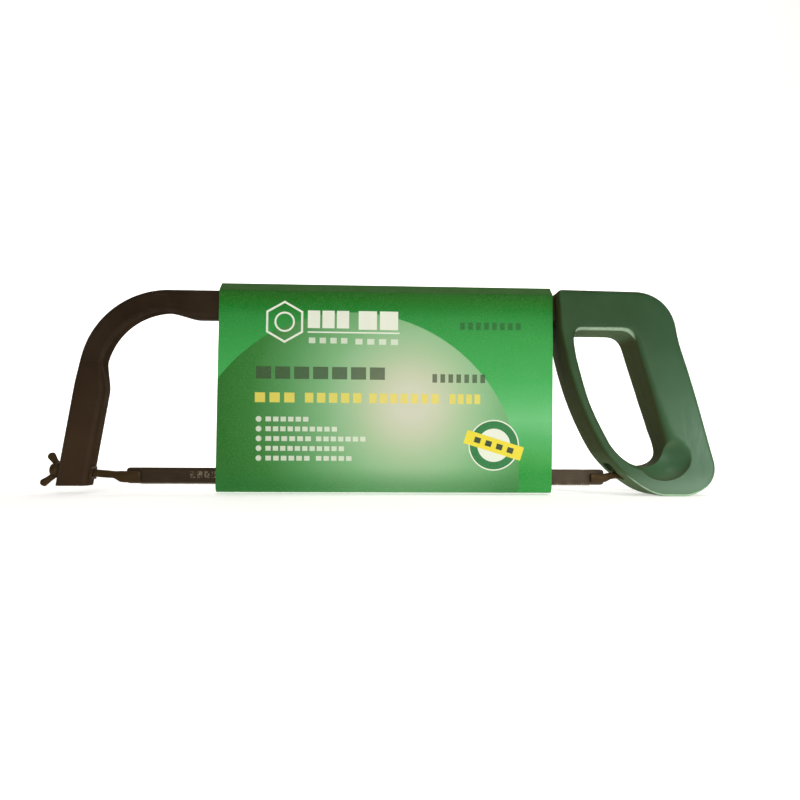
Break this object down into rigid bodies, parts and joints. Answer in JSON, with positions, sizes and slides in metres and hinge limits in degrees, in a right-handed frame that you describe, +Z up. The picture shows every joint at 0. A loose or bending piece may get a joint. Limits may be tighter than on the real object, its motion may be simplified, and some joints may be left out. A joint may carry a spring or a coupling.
{
  "type": "hacksaw",
  "caption": "Hacksaw with a bent steel tube frame, a closed plastic pistol-grip handle, a blade tensioned by a wing nut, and a printed card sleeve round frame and blade.",
  "frame": {"origin": "on the ground, below the middle of the saw's overall length and of its thickness", "axes": "+X along the blade towards the handle, +Y across the saw towards its far side, +Z up from the blade to the frame tube"},
  "size_m": [0.4264, 0.03, 0.1338],
  "materials": {
    "frame_paint": "dark brown-black stoving paint, semi-gloss, slightly uneven",
    "plug_plastic": "black moulded plastic",
    "hardware_steel": "dark oiled and blackened steel",
    "bright_steel": "zinc plated steel",
    "blade_steel": "blued and oiled blade steel with fine lengthwise grinding lines",
    "handle_plastic": "blue-green moulded plastic, satin gloss with fine scuffs",
    "printed_card": null
  },
  "bodies": {
    "frame": {"frame_tube": "frame_paint", "leg_end_plug": "plug_plastic", "tension_guide": "hardware_steel", "flat_washer": "hardware_steel", "handle_shell_near": "handle_plastic", "handle_shell_far": "handle_plastic", "handle_screw_1": "bright_steel", "handle_screw_2": "bright_steel", "handle_screw_3": "bright_steel", "handle_screw_4": "bright_steel", "tube_retaining_pin": "bright_steel", "anchor_socket": "bright_steel"},
    "nut": {"wing_nut": "hardware_steel"},
    "blade_train": {"tension_bolt": "hardware_steel", "front_blade_pin": "bright_steel", "rear_anchor": "hardware_steel", "rear_blade_pin": "bright_steel", "anchor_cross_pin": "bright_steel"},
    "blade": {"saw_blade": "blade_steel"},
    "sleeve": {"card_sleeve": "printed_card"}
  },
  "joints": [
    {"name": "nut_turn", "type": "hinge", "parent": "frame", "child": "nut", "pos_m": [-0.17036, 0, 0.01195], "axis": [-0.9969, 0, 0.0785], "range_deg": [0, 1440]},
    {"name": "tension_slide", "type": "slide", "parent": "frame", "child": "blade_train", "axis": [0.9969, 0, -0.0785], "range_m": [0, 0.0032]},
    {"name": "blade_lift_off", "type": "slide", "parent": "blade_train", "child": "blade", "axis": [0, 1, 0], "range_m": [0, 0.006]},
    {"name": "sleeve_slide", "type": "slide", "parent": "frame", "child": "sleeve", "axis": [-1, 0, 0], "range_m": [0, 0.33]}
  ],
  "couplings": [
    {"joint": "nut_turn", "follows": "tension_slide", "rad_per_m": 7853.9}
  ]
}
